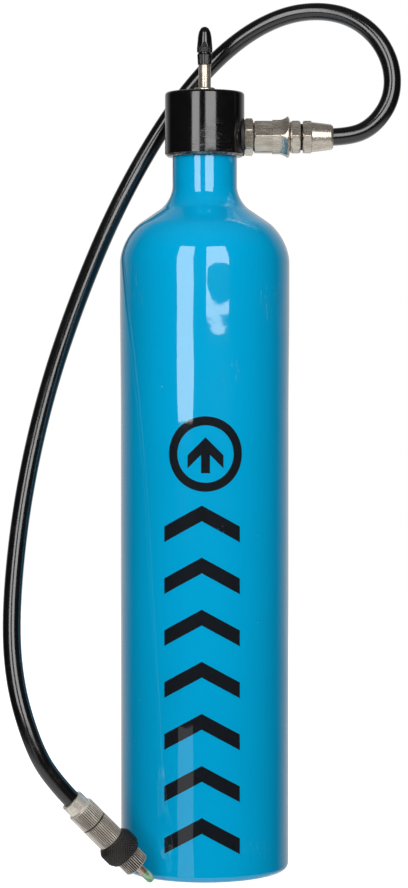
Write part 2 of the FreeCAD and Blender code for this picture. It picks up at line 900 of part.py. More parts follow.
def make_nozzle():
    """The brass spigot in the nose, and the soft green tip on its end."""
    spigot = turned(
        "nozzle_spigot",
        [
            ("0.9", "0"),
            ("1.9", "0"),
            ("1.9", "5.0"),
            ("3.6", "5.0"),
            ("3.6", "6.0"),
            ("spigot_radius", "6.0"),
            ("spigot_radius", "spigot_end - 36.0"),
            ("0.9", "spigot_end - 36.0"),
        ],
    )
    lay_along_chuck(spigot, "36.0")
    tip = turned(
        "nozzle_tip",
        [
            ("0.7", "0"),
            ("tip_radius", "0"),
            ("tip_radius - 0.15", "tip_length - 0.9"),
            ("tip_radius - 0.8", "tip_length"),
            ("0.7", "tip_length"),
        ],
    )
    lay_along_chuck(tip, "spigot_end")


# ---- the whole ---------------------------------------------------------------------


def check_and_write():
    """Stop at a failed feature or a bad solid, then write one STEP file per sub-part."""
    DOC.recompute()
    for thing in DOC.Objects:
        if "Invalid" in thing.State or "Error" in thing.State:
            raise ValueError(f"{thing.Name} is {thing.State}")
    os.makedirs("parts", exist_ok=True)
    for node in NODES:
        shape = node.Shape
        if shape.isNull() or not shape.isValid() or len(shape.Solids) != 1:
            raise ValueError(f"{node.Label} is not one valid solid")
        shape.exportStep(f"parts/{node.Label}.step")
        box = shape.BoundBox
        low = f"{box.XMin:.1f} {box.YMin:.1f} {box.ZMin:.1f}"
        high = f"{box.XMax:.1f} {box.YMax:.1f} {box.ZMax:.1f}"
        print(f"{node.Label}: {low} to {high}, {shape.Volume:.1f} mm3")


def main():
    make_sheet()
    make_bottle()
    make_neck_seal()
    make_head()
    make_inlet_seal()
    make_inlet_stem()
    make_lock_ring()
    make_valve_core()
    make_inlet_cap()
    make_outlet_washer()
    make_outlet_nipple()
    make_swivel_body()
    make_swivel_stem()
    make_swivel_hardware()
    make_hose_nut()
    make_hose()
    make_rear_nut()
    make_chuck_body()
    make_port_seat()
    make_shutoff_core()
    make_collar()
    make_chuck_nut()
    make_nozzle()
    check_and_write()


main()
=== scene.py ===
import json
import math

import bmesh
import bpy
from mathutils import Matrix, Vector


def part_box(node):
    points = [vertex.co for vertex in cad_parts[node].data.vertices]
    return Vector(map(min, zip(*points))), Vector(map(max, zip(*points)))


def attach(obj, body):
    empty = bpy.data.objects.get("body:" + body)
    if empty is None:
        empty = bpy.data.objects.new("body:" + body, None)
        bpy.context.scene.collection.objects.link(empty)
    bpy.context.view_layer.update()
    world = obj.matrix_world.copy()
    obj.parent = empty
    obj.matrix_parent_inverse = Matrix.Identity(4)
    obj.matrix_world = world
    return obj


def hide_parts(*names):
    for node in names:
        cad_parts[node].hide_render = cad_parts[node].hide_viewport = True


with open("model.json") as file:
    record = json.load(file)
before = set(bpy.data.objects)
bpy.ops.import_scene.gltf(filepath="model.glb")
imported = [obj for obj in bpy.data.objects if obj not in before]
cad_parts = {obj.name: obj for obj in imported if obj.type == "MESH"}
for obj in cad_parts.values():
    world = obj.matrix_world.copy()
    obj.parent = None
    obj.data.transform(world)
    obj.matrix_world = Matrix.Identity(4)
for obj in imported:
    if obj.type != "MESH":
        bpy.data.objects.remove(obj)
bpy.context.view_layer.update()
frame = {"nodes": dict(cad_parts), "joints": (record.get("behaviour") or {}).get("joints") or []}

MM = 0.001
TURN = 2 * math.pi

# The hose's line, from inside its nut at the bottle's head to inside the chuck, in metres.
HOSE_ROUTE = [
    (0.0540, 0.0000, 0.3312),
    (0.0660, 0.0000, 0.3312),
    (0.0770, 0.0005, 0.3365),
    (0.0850, 0.0015, 0.3485),
    (0.0855, 0.0030, 0.3630),
    (0.0793, 0.0050, 0.3766),
    (0.0680, 0.0075, 0.3862),
    (0.0535, 0.0105, 0.3901),
    (0.0365, 0.0140, 0.3884),
    (0.0180, 0.0190, 0.3795),
    (-0.0010, 0.0250, 0.3630),
    (-0.0200, 0.0265, 0.3380),
    (-0.0405, 0.0200, 0.3010),
    (-0.0575, 0.0050, 0.2590),
    (-0.0715, -0.0120, 0.2150),
    (-0.0810, -0.0290, 0.1680),
    (-0.0850, -0.0430, 0.1220),
    (-0.0830, -0.0520, 0.0910),
    (-0.0745, -0.0565, 0.0635),
    (-0.0653, -0.0543, 0.0473),
    (-0.0525, -0.0506, 0.0337),
]
HOSE_RADIUS = 0.004

# Sizes that a shape shares with a finish, in millimetres.
BOTTLE_RADIUS = 38.0
NECK_TOP = 322.2
CHUCK_SEAT_DEPTH = 30.0

# The studio, in metres: how far off the lights and the dark card stand.
LIGHT_DISTANCE = 1.5
FLAG_DISTANCE = 1.38


# ---- camera and hose ---------------------------------------------------------------


def link(thing):
    """Put an object in the scene."""
    bpy.context.scene.collection.objects.link(thing)
    return thing


def make_camera():
    """A long lens, level with the upper half of the bottle."""
    data = bpy.data.cameras.new("camera")
    data.lens = 109.4
    data.clip_start = 0.05
    data.shift_x = -0.0008
    data.shift_y = -0.1117
    camera = link(bpy.data.objects.new("camera", data))
    camera.location = (0.0, -1.224, 0.237)
    camera.rotation_euler = (math.radians(90), 0.0, 0.0)
    bpy.context.scene.camera = camera


def make_hose():
    """The hose: one smooth line along its route."""
    data = bpy.data.curves.new("hose", "CURVE")
    data.dimensions = "3D"
    spline = data.splines.new("NURBS")
    spline.points.add(len(HOSE_ROUTE) - 1)
    for point, place in zip(spline.points, HOSE_ROUTE):
        point.co = (*place, 1.0)
    spline.order_u = 3
    spline.use_endpoint_u = True
    data.resolution_u = 16
    data.bevel_depth = HOSE_RADIUS
    data.bevel_resolution = 8
    data.use_fill_caps = True
    return link(bpy.data.objects.new("hose", data))


make_camera()
hose = make_hose()


# ---- places ------------------------------------------------------------------------


def joint(name):
    """A joint's record, by name."""
    return next(each for each in frame["joints"] if each["name"] == name)


def facing(axis, toward, start):
    """A place whose Z runs along axis from start, and whose X points toward."""
    across = (toward - axis * toward.dot(axis)).normalized()
    turn = Matrix((across, axis.cross(across), axis)).transposed()
    return Matrix.Translation(start) @ turn.to_4x4()


VIEWER = Vector((0, -1, 0))
UPRIGHT = facing(Vector((0, 0, 1)), VIEWER, Vector())
outlet_low, outlet_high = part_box("outlet_nipple")
OUTLET_HEIGHT = (outlet_low.z + outlet_high.z) / 2
OUTLET = facing(Vector((1, 0, 0)), VIEWER, Vector((0, 0, OUTLET_HEIGHT)))
CHUCK_AXIS = Vector(joint("shutoff_turn")["axis"]).normalized()
CHUCK_SEAT = Vector(joint("shutoff_turn")["pos_m"])
CHUCK_REAR = CHUCK_SEAT - CHUCK_AXIS * (CHUCK_SEAT_DEPTH * MM)
CHUCK = facing(CHUCK_AXIS, CHUCK_AXIS.cross(Vector((0, 0, 1))), CHUCK_REAR)


# ---- finishes ----------------------------------------------------------------------


class Finish:
    """A material being built, with coordinates in millimetres along its own axis."""

    def __init__(self, name, place=None):
        self.material = bpy.data.materials.new(name)
        self.material.use_nodes = True
        self.tree = self.material.node_tree
        self.shader = self.tree.nodes["Principled BSDF"]
        here = self.node("ShaderNodeTexCoord").outputs["Object"]
        back = (place or Matrix()).inverted()
        mapping = self.node("ShaderNodeMapping", Vector=here)
        mapping.inputs["Scale"].default_value = (1 / MM, 1 / MM, 1 / MM)
        mapping.inputs["Rotation"].default_value = back.to_euler()
        mapping.inputs["Location"].default_value = back.translation / MM
        self.at = mapping.outputs["Vector"]
        split = self.node("ShaderNodeSeparateXYZ", Vector=self.at)
        self.x, self.y, self.z = split.outputs

    def node(self, kind, settings=None, **inputs):
        """A new node; an input's name has _ for each space."""
        node = self.tree.nodes.new(kind)
        for word, value in (settings or {}).items():
            setattr(node, word, value)
        for word, value in inputs.items():
            self.feed(node.inputs[word.replace("_", " ")], value)
        return node

    def feed(self, socket, value):
        """Link a socket to another, or set it to a plain value."""
        if isinstance(value, bpy.types.NodeSocket):
            self.tree.links.new(value, socket)
        elif isinstance(value, tuple) and len(value) == 3 and socket.type == "RGBA":
            socket.default_value = (*value, 1.0)
        else:
            socket.default_value = value

    def put(self, **inputs):
        """Set the shader's own sockets."""
        for word, value in inputs.items():
            self.feed(self.shader.inputs[word.replace("_", " ")], value)

    def maths(self, operation, *values, clamp=False):
        node = self.node("ShaderNodeMath", {"operation": operation, "use_clamp": clamp})
        for socket, value in zip(node.inputs, values):
            self.feed(socket, value)
        return node.outputs[0]

    def noise(self, size, stretch=(1, 1, 1), detail=2.0, roughness=0.5, at=None):
        """Cloudy noise from 0 to 1, its blobs that many millimetres across."""
        scaled = self.node("ShaderNodeMapping", Vector=at or self.at)
        scaled.inputs["Scale"].default_value = [1 / (size * each) for each in stretch]
        node = self.node("ShaderNodeTexNoise", Vector=scaled.outputs["Vector"])
        self.feed(node.inputs["Scale"], 1.0)
        self.feed(node.inputs["Detail"], detail)
        self.feed(node.inputs["Roughness"], roughness)
        return node.outputs["Fac"]

    def fade(self, value, start, end, low=0.0, high=1.0):
        """A smooth change from low to high as value goes from start to end."""
        node = self.node("ShaderNodeMapRange", {"interpolation_type": "SMOOTHSTEP"})
        for socket, each in zip(node.inputs, (value, start, end, low, high)):
            self.feed(socket, each)
        return node.outputs[0]

    def both(self, first, second):
        return self.maths("MULTIPLY", first, second)

    def either(self, first, second):
        return self.maths("MAXIMUM", first, second)

    def mix(self, share, first, second):
        """A colour between two, share of the way from the first to the second."""
        node = self.node("ShaderNodeMix", {"data_type": "RGBA"})
        self.feed(node.inputs[0], share)
        self.feed(node.inputs[6], first)
        self.feed(node.inputs[7], second)
        return node.outputs[2]

    def bump(self, height, depth, under=None):
        """Raise the surface by height (0 to 1) times depth in millimetres."""
        node = self.node("ShaderNodeBump", Height=height)
        node.inputs["Distance"].default_value = depth * MM
        if under:
            self.feed(node.inputs["Normal"], under)
        return node.outputs["Normal"]

    def reach(self):
        """The distance from the axis."""
        squares = self.maths("ADD", self.both(self.x, self.x), self.both(self.y, self.y))
        return self.maths("SQRT", squares)

    def groove(self):
        """How deep in a knurl's groove the surface is, from 0 to 1."""
        return self.node("ShaderNodeAttribute", {"attribute_name": "groove"}).outputs["Fac"]

    def lathe_lines(self, pitch):
        """Fine rings round the axis, on the sides and on the ends alike."""
        along = self.maths("ADD", self.z, self.reach())
        ring = self.node("ShaderNodeCombineXYZ", Z=along).outputs[0]
        drift = self.noise(6.0, detail=1.0)
        shifted = self.node("ShaderNodeVectorMath", {"operation": "ADD"})
        self.feed(shifted.inputs[0], ring)
        self.feed(shifted.inputs[1], self.node("ShaderNodeCombineXYZ", X=drift).outputs[0])
        return self.noise(pitch, detail=3.0, roughness=0.6, at=shifted.outputs[0])

    def hairlines(self, size, stretch, rarity, at=None):
        """Sparse thin scratches: the crests of a stretched noise, in scattered patches."""
        grain = self.noise(size, stretch, detail=1.0, at=at)
        crest = self.maths("ABSOLUTE", self.maths("SUBTRACT", grain, 0.5))
        line = self.fade(crest, 0.012, 0.0)
        patch = self.fade(self.noise(size * 9, detail=1.0), rarity, rarity + 0.06)
        return self.both(line, patch)


def paint():
    """Gloss blue paint with a black printed roundel and chevrons, lightly scratched."""
    f = Finish("blue_paint")
    turn = f.maths("ARCTAN2", f.x, f.maths("MULTIPLY", f.y, -1.0))
    around = f.maths("MULTIPLY", turn, BOTTLE_RADIUS)

    def strip(value, low, high, soft=0.12):
        """1 where value lies between low and high."""
        above = f.fade(value, low - soft, low + soft)
        return f.both(above, f.fade(value, high + soft, high - soft))

    # The roundel: a ring with an arrow in it.
    across = f.maths("SUBTRACT", around, 0.35)
    side = f.maths("ABSOLUTE", across)
    up = f.maths("SUBTRACT", f.z, 189.0)
    far = f.maths("SQRT", f.maths("ADD", f.both(across, across), f.both(up, up)))
    ring = strip(far, 12.6, 16.6)
    slant = f.maths("ADD", up, side)
    tip = f.both(strip(slant, 1.6, 7.4), strip(side, -1.0, 8.0))
    shaft = f.both(strip(side, -1.0, 2.0), strip(up, -8.5, 3.0))
    roundel = f.either(ring, f.either(tip, shaft))

    # The column of chevrons: slanted bands, mirrored about its middle line.
    side = f.maths("ABSOLUTE", f.maths("ADD", around, 1.3))
    slant = f.maths("ADD", f.z, f.maths("MULTIPLY", side, 0.55))
    step = f.maths("MODULO", f.maths("SUBTRACT", slant, 6.6), 22.9)
    chevrons = f.both(strip(step, 15.4, 22.4), strip(slant, 16.0, 168.0))
    chevrons = f.both(chevrons, strip(side, -1.0, 17.3))

    # Ink and paint, each with its wear.
    worn = f.hairlines(2.4, (3.0, 3.0, 0.5), 0.66)
    rubbed = f.fade(f.noise(0.35, detail=4.0, roughness=0.7), 0.72, 0.76)
    rubbed = f.both(rubbed, f.fade(f.noise(9.0), 0.5, 0.62))
    kept = f.maths("SUBTRACT", 1.0, f.either(worn, rubbed), clamp=True)
    printed = f.both(f.either(roundel, chevrons), kept)

    tone = f.noise(60.0, detail=3.0)
    blue = f.mix(tone, (0.0, 0.372, 0.685), (0.0, 0.425, 0.775))
    ink = f.mix(f.noise(1.2, detail=3.0), (0.006, 0.008, 0.011), (0.014, 0.018, 0.024))
    scratch = f.hairlines(5.0, (0.30, 0.30, 5.0), 0.66)
    colour = f.mix(f.both(scratch, 0.22), f.mix(printed, blue, ink), (0.32, 0.55, 0.68))
    chip = f.both(
        f.fade(f.noise(1.6, detail=3.0, roughness=0.65), 0.735, 0.75),
        f.fade(f.noise(22.0, detail=1.0), 0.58, 0.66),
    )
    colour = f.mix(chip, colour, (0.62, 0.68, 0.70))
    f.put(Base_Color=colour, Coat_Weight=1.0, Coat_Roughness=0.02, Coat_IOR=1.72)
    haze = f.fade(f.noise(14.0, detail=5.0, roughness=0.65), 0.3, 0.75, 0.10, 0.20)
    f.put(Roughness=f.maths("ADD", haze, f.both(f.either(scratch, printed), 0.12)))
    f.put(Specular_IOR_Level=0.04)
    waves = f.bump(f.noise(24.0, (1.0, 1.0, 1.4), detail=1.0), 0.30)
    peel = f.bump(f.noise(2.2, detail=2.0), 0.003, waves)
    dents = f.bump(f.maths("SUBTRACT", 1.0, f.either(scratch, chip)), 0.02, peel)
    f.put(Normal=f.bump(printed, 0.012, dents), Coat_Normal=peel)
    return f.material


def anodised():
    """Gloss black anodised aluminium, with turning lines and bright worn edges."""
    f = Finish("black_anodised")
    lines = f.lathe_lines(0.22)
    tone = f.mix(f.noise(7.0, detail=4.0), (0.003, 0.003, 0.0033), (0.009, 0.0085, 0.0085))
    scratch = f.hairlines(3.0, (3.0, 3.0, 0.22), 0.56)
    edge = f.maths("SUBTRACT", f.z, NECK_TOP)
    rim = f.both(f.fade(edge, 1.35, 0.9), f.fade(edge, -0.3, 0.1))
    rub = f.fade(f.noise(2.6, (1.0, 1.0, 0.5), detail=5.0, roughness=0.7), 0.42, 0.60)
    worn = f.either(f.both(rim, rub), f.both(scratch, 0.3))
    f.put(Base_Color=f.mix(worn, tone, (0.30, 0.29, 0.28)))
    f.put(Metallic=f.maths("MULTIPLY", worn, 0.8))
    smear = f.fade(f.noise(11.0, detail=4.0, roughness=0.6), 0.3, 0.7, 0.05, 0.12)
    f.put(Roughness=f.maths("ADD", smear, f.both(lines, 0.05)))
    f.put(Specular_IOR_Level=0.75, Coat_Weight=0.2, Coat_Roughness=0.06)
    f.put(Normal=f.bump(lines, 0.010, f.bump(scratch, 0.01)))
    return f.material


def nickel(
    name, place, brushed, colour=(0.78, 0.715, 0.62), shade=(0.42, 0.365, 0.295), metallic=0.78
):
    """Satin nickel with fine lines, brushed along its axis or turned round it.

    The grooves of a knurl and the narrow necks are painted near black, as painted shade.
    """
    f = Finish(name, place)
    if brushed:
        lines = f.noise(0.20, (1.0, 1.0, 40.0), detail=4.0, roughness=0.65)
    else:
        lines = f.lathe_lines(0.12)
    cloud = f.noise(5.0, (1.0, 1.0, 2.5), detail=4.0, roughness=0.6)
    share = f.maths("ADD", f.both(lines, 0.6), f.both(cloud, 0.4))
    metal = f.mix(f.fade(share, 0.38, 0.60), shade, colour)
    # Painted shade: knurl grooves and narrow necks are darkened to near black, and made rougher.
    groove_shade = f.fade(f.groove(), 0.26, 0.46)
    f.put(Base_Color=f.mix(groove_shade, metal, (0.016, 0.014, 0.012)), Metallic=metallic)
    rough = f.maths("ADD", f.fade(cloud, 0.3, 0.75, 0.16, 0.26), f.both(lines, 0.14))
    f.put(Roughness=f.maths("ADD", rough, f.both(groove_shade, 0.3)))
    nick = f.fade(f.noise(0.9, detail=4.0, roughness=0.7), 0.68, 0.76)
    f.put(Normal=f.bump(lines, 0.009, f.bump(nick, 0.02)))
    return f.material


def moulded(name, light, dark, roughness, grain, depth, coat=0.0):
    """Plain moulded plastic or rubber with a fine skin; a knurl's grooves are painted dark, as
    painted shade.
    """
    f = Finish(name)
    skin = f.noise(grain, detail=4.0, roughness=0.6)
    cloud = f.noise(grain * 14, detail=3.0)
    # Painted shade: knurl grooves fade to the dark colour; on the collar the lighter colour left
    # on the crests is a painted glint.
    f.put(Base_Color=f.mix(f.fade(f.groove(), 0.2, 0.8), f.mix(cloud, dark, light), dark))
    f.put(Roughness=f.fade(cloud, 0.3, 0.7, roughness - 0.05, roughness + 0.08))
    f.put(Coat_Weight=coat, Coat_Roughness=0.12)
    f.put(Normal=f.bump(skin, depth))
    return f.material


def hose_finish():
    """Black hose: smooth, a soft gloss, faint dusty smears and scuffs."""
    f = Finish("hose_black")
    smear = f.noise(9.0, detail=4.0, roughness=0.65)
    dust = f.both(f.fade(smear, 0.52, 0.75), f.fade(f.noise(1.1, detail=3.0), 0.4, 0.7))
    f.put(Base_Color=f.mix(dust, (0.006, 0.006, 0.0065), (0.030, 0.027, 0.026)))
    f.put(Roughness=f.fade(smear, 0.3, 0.75, 0.13, 0.24))
    f.put(Specular_IOR_Level=0.8, Coat_Weight=0.4, Coat_Roughness=0.09)
    fine = f.noise(0.8, detail=3.0)
    f.put(Normal=f.bump(fine, 0.012, f.bump(f.noise(6.0, detail=1.0), 0.05)))
    return f.material


def green_tip():
    """Soft, cloudy green plastic."""
    f = Finish("green_plastic", CHUCK)
    cloud = f.noise(1.6, (1.0, 1.0, 2.0), detail=3.0)
    f.put(Base_Color=f.mix(f.fade(cloud, 0.4, 0.62), (0.16, 0.50, 0.24), (0.62, 0.76, 0.58)))
    f.put(Roughness=f.fade(cloud, 0.3, 0.7, 0.22, 0.42))
    f.put(Transmission_Weight=0.35, Subsurface_Weight=0.3, Subsurface_Scale=0.002)
    f.put(Normal=f.bump(f.noise(0.4, detail=2.0), 0.02))
    return f.material


BLUE = paint()
BLACK = anodised()
NICKEL_OUTLET = nickel("nickel_outlet", OUTLET, True)
NICKEL_STEM = nickel("nickel_stem", UPRIGHT, False)
NICKEL_CHUCK = nickel(
    "nickel_chuck", CHUCK, True, (0.92, 0.86, 0.78), (0.58, 0.51, 0.43), metallic=0.5
)
BRASS = nickel("brass", CHUCK, False, (0.74, 0.52, 0.40), (0.55, 0.36, 0.26))
CAP_PLASTIC = moulded(
    "cap_plastic", (0.010, 0.008, 0.008), (0.003, 0.003, 0.003), 0.13, 0.4, 0.004, coat=0.8
)
RUBBER = moulded("seal_rubber", (0.026, 0.025, 0.025), (0.012, 0.012, 0.012), 0.48, 0.5, 0.02)
# The collar's brownish lighter colour is a painted glint on its knurl's crests; its grooves take
# painted shade.
COLLAR_BLACK = moulded(
    "collar_black", (0.046, 0.039, 0.034), (0.002, 0.002, 0.002), 0.36, 0.5, 0.015
)
STEEL = nickel("spring_steel", CHUCK, False, (0.55, 0.55, 0.56), (0.36, 0.36, 0.37))
HOSE_BLACK = hose_finish()
GREEN = green_tip()


# ---- shapes ------------------------------------------------------------------------


def outline_wire(outline):
    """A wire of corners (radius, height) or (radius, height, round) in the XZ plane."""
    bm = bmesh.new()
    corners = [bm.verts.new((corner[0], 0, corner[1])) for corner in outline]
    pairs = list(zip(corners, corners[1:]))
    if outline[0][0] > 0:
        pairs.append((corners[-1], corners[0]))
    for pair in pairs:
        bm.edges.new(pair)
    for index, corner in enumerate(corners):
        if len(outline[index]) > 2:
            round_corner(bm, corner, outline, index)
    return bm


def round_corner(bm, vertex, outline, index):
    """Round one corner of a wire to the radius that its outline gives."""
    here, before = Vector(outline[index][:2]), Vector(outline[index - 1][:2])
    after = Vector(outline[(index + 1) % len(outline)][:2])
    half_turn = (here - before).angle(after - here) / 2
    radius = outline[index][2]
    segments = max(3, min(20, int(math.degrees(half_turn) * 2 / 7 + radius)))
    bmesh.ops.bevel(
        bm, geom=[vertex], offset=radius * math.tan(half_turn), offset_type="OFFSET",
        segments=segments, profile=0.5, affect="VERTICES", material=-1,
    )


def add_rows(bm, low, high, step):
    """Divide the outline between two heights, so that it can be carved."""
    for edge in bm.edges[:]:
        if all(low - 0.01 <= v.co.z <= high + 0.01 for v in edge.verts):
            cuts = int(edge.calc_length() / step)
            if cuts:
                bmesh.ops.subdivide_edges(bm, edges=[edge], cuts=cuts)


def carve(bm, shape, knurl=None):
    """Draw each point in towards the axis, as far as shape(angle, height, radius) says.

    How deep the knurl then cuts is kept on each point, from 0 to 1, for the finish.
    """
    kept = bm.verts.layers.float.new("groove")
    cuts = []
    for vertex in bm.verts:
        full = radius = math.hypot(vertex.co.x, vertex.co.y)
        if full > 0.01:
            angle = math.atan2(vertex.co.y, vertex.co.x)
            if shape:
                radius = shape(angle, vertex.co.z, radius)
            before = radius
            if knurl:
                radius = knurl(angle, vertex.co.z, radius)
            vertex[kept] = before - radius
            cuts.append(before - radius)
            vertex.co.x *= radius / full
            vertex.co.y *= radius / full
    deepest = max(cuts)
    if deepest > 0:
        for vertex in bm.verts:
            vertex[kept] /= deepest


def finish_mesh(mesh, sharp=38.0):
    """Smooth faces, with an edge where the surface turns sharply."""
    bm = bmesh.new()
    bm.from_mesh(mesh)
    for face in bm.faces:
        face.smooth = True
    for edge in bm.edges:
        edge.smooth = len(edge.link_faces) != 2 or edge.calc_face_angle() < math.radians(sharp)
    bm.to_mesh(mesh)
    bm.free()


def turned(
    name, outline, place, finish, steps=96, rows=None, shape=None, knurl=None, sharp=38.0
):
    """A turned piece, in millimetres along its place's Z, then carved to shape."""
    bm = outline_wire(outline)
    if rows:
        add_rows(bm, *rows)
    bmesh.ops.spin(
        bm, geom=bm.verts[:] + bm.edges[:], cent=(0, 0, 0), axis=(0, 0, 1),
        angle=TURN, steps=steps, use_merge=True, use_duplicate=False,
    )
    bmesh.ops.remove_doubles(bm, verts=bm.verts, dist=0.0004)
    if shape or knurl:
        carve(bm, shape, knurl)
    bmesh.ops.recalc_face_normals(bm, faces=bm.faces)
    bm.transform(place @ Matrix.Scale(MM, 4))
    mesh = bpy.data.meshes.new(name)
    bm.to_mesh(mesh)
    bm.free()
    finish_mesh(mesh, sharp)
    mesh.materials.append(finish)
    return link(bpy.data.objects.new(name, mesh))


def cut_out(piece, cutter):
    """Cut one piece's shape out of another's mesh."""
    modifier = piece.modifiers.new("cut", "BOOLEAN")
    modifier.operation = "DIFFERENCE"
    modifier.solver = "EXACT"
    modifier.object = cutter
    view = bpy.context.evaluated_depsgraph_get()
    mesh = bpy.data.meshes.new_from_object(piece.evaluated_get(view))
    piece.modifiers.clear()
    piece.data = mesh
    bpy.data.objects.remove(cutter)
    finish_mesh(mesh)


def wave(turns):
    """A triangle wave from 0 to 1 and back for each whole turn."""
    return 1 - abs(2 * (turns % 1.0) - 1)


def flats(apothem, count=6, corner=0.0):
    """Flats all round, the first corner at that angle in degrees.

    apothem is a number, or a function of the height.
    """
    size = apothem if callable(apothem) else lambda height: apothem
    sector = TURN / count

    def shape(angle, height, radius):
        off = (angle - math.radians(corner)) % sector - sector / 2
        return min(radius, size(height) / math.cos(off))

    return shape


def ridges(count, depth):
    """A straight knurl: ridges along the axis."""
    return lambda angle, height, radius: radius - depth * wave(angle / TURN * count)


def diamonds(count, pitch, depth):
    """A diamond knurl: two crossed sets of grooves."""

    def shape(angle, height, radius):
        around, along = angle / TURN * count, height / pitch
        return radius - depth * (1 - min(wave(around + along), wave(around - along)) * 2)

    return shape


def thread(pitch, depth):
    """A screw thread."""
    return lambda angle, height, radius: radius - depth * wave(height / pitch - angle / TURN)


def neck(low, high, inner, outer):
    """A narrow neck between two heights and two radii, cut 0.3 mm in, which the finish then
    paints dark as painted shade.
    """

    def limited(angle, height, radius):
        inside = low <= height <= high and inner < radius < outer
        return radius - 0.3 if inside else radius

    return limited


def between(low, high, shape, inner=0.0):
    """The same shape, only between two heights and outside a radius."""

    def limited(angle, height, radius):
        if low <= height <= high and radius > inner:
            return shape(angle, height, radius)
        return radius

    return limited


def one_after_another(*shapes):
    """Several carvings, each on what the last one left."""

    def shape(angle, height, radius):
        for each in shapes:
            radius = each(angle, height, radius)
        return radius

    return shape


def stand_for(piece, body, slot, *nodes):
    """Let a piece ride on a body and stand for CAD nodes, which it hides. The slot argument is
    not used.
    """
    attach(piece, body)
    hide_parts(*nodes)
    return piece


# ---- bottle and head ---------------------------------------------------------------


def make_bottle():
    """The drawn aluminium bottle: domed base, long wall, round shoulder, thick neck."""
    outline = [
        (0, 8.0), (12, 6.9, 30), (22, 4.15, 30), (31, 0, 0.8), (37.9, 0, 3.0),
        (BOTTLE_RADIUS, 210, 60), (38.4, 252, 60), (38.4, 285.9, 22.5), (14.6, 302.2, 13.0),
        (14.6, NECK_TOP, 0.3), (11.5, NECK_TOP), (11.5, 320.2), (9.05, 320.2),
        (9.05, 303.3, 6), (36.4, 284.6, 20.3), (36.4, 252), (36.0, 210), (35.9, 3.9, 3),
        (30, 3.9), (0, 11.0),
    ]
    piece = turned("bottle", outline, Matrix(), BLUE, steps=160, rows=(4, 320, 4.0))
    stand_for(piece, "bottle", "painted_bottle", "bottle_shell")


def make_head():
    """The head: a puck on the neck, its thread inside, an inlet and an outlet."""
    outline = [
        (3.5, 304.2), (9.0, 304.2, 0.5), (9.0, NECK_TOP), (16.8, NECK_TOP, 0.1),
        (18.0, 323.4, 0.5), (18.0, 351.5, 1.5), (3.05, 351.5, 0.2), (3.05, 341.0),
        (2.0, 341.0), (2.0, 335.2), (3.5, 335.2),
    ]
    piece = turned("head", outline, Matrix(), BLACK, steps=144, rows=(323.5, 350, 3.0))
    drill = [(0, 0), (3, 0), (3, 8), (4.85, 8), (4.85, 16.4), (9, 16.4), (9, 22), (0, 22)]
    cut_out(piece, turned("drill", drill, OUTLET, BLACK, steps=64))
    stand_for(piece, "bottle", "black_anodised", "head_block")


def make_inlet():
    """The filling valve: its stem, lock ring and dust cap."""
    stem = [
        (1.7, 342.0), (3.0, 342.0), (3.0, 353.6), (2.8, 353.8, 0.1), (2.8, 363.9, 0.35),
        (2.5, 363.9), (2.5, 370.2, 0.25), (1.95, 370.2), (1.95, 360.0), (1.7, 360.0),
    ]
    piece = turned(
        "stem", stem, Matrix(), NICKEL_STEM, steps=72, rows=(364.1, 369.9, 0.1),
        knurl=between(364.2, 369.7, thread(0.8, 0.22), 2.2),
    )
    stand_for(piece, "bottle", "nickel", "inlet_stem")
    ring = [
        (3.05, 351.5), (4.8, 351.5, 0.15), (4.8, 353.1, 0.1), (4.4, 353.5, 0.15),
        (3.05, 353.5),
    ]
    piece = turned("lock_ring", ring, Matrix(), NICKEL_STEM, steps=96)
    stand_for(piece, "bottle", "nickel", "inlet_lock_ring")

    cap = [
        (0, 378.2), (1.2, 378.2), (2.55, 376.4), (2.55, 364.0), (3.1, 364.0, 0.15),
        (3.38, 368.7, 0.12), (3.05, 369.05, 0.1), (3.05, 369.35, 0.1),
        (3.42, 369.65, 0.08), (3.45, 372.15, 0.12), (3.12, 376.6, 5.0),
        (2.66, 378.9, 2.5), (1.75, 380.6, 1.3), (0.8, 381.2, 0.6), (0, 381.2),
    ]

    def taper(height):
        return 3.13 + 0.07 * (height - 372.2)

    piece = turned(
        "dust_cap", cap, UPRIGHT, CAP_PLASTIC, steps=192, rows=(364.1, 378.0, 0.16),
        shape=between(372.2, 378.5, flats(taper, corner=30.0), 2.6),
        knurl=one_after_another(
            between(364.2, 368.6, ridges(24, 0.18), 2.7),
            between(369.7, 372.1, diamonds(24, 0.9, 0.16), 2.7),
        ),
        sharp=60.0,
    )
    stand_for(piece, "cap", "black_plastic", "inlet_cap")


# ---- outlet and swivel -------------------------------------------------------------


